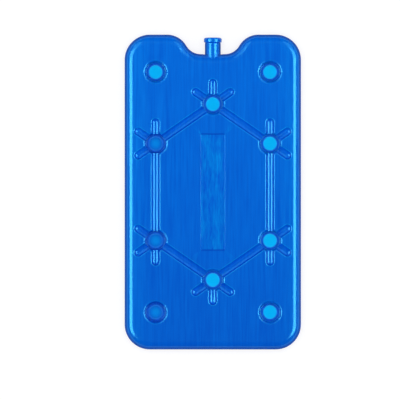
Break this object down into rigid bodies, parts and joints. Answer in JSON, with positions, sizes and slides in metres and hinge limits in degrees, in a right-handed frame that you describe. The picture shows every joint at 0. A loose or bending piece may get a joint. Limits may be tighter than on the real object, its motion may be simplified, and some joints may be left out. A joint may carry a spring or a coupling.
{
  "type": "reusable ice pack",
  "caption": "Flat rounded reusable ice pack with a sheltered filler neck and plug in its notched end, kiss-off dimples and a hexagon of shallow star grooves on both faces.",
  "frame": {"origin": "middle of the back face, on the plane that the pack lies on", "axes": "+X across the width, to the right seen from the front; +Y along the length, towards the neck; +Z through the thickness, out of the front"},
  "size_m": [0.14, 0.25, 0.015],
  "materials": {
    "shell": "semi-gloss blow-moulded polyethylene with fine die lines, tinted blue",
    "plug": "semi-gloss injection-moulded polyethylene, tinted blue"
  },
  "bodies": {
    "root": {"pack_body": "shell", "filler_plug": "plug"}
  },
  "joints": []
}
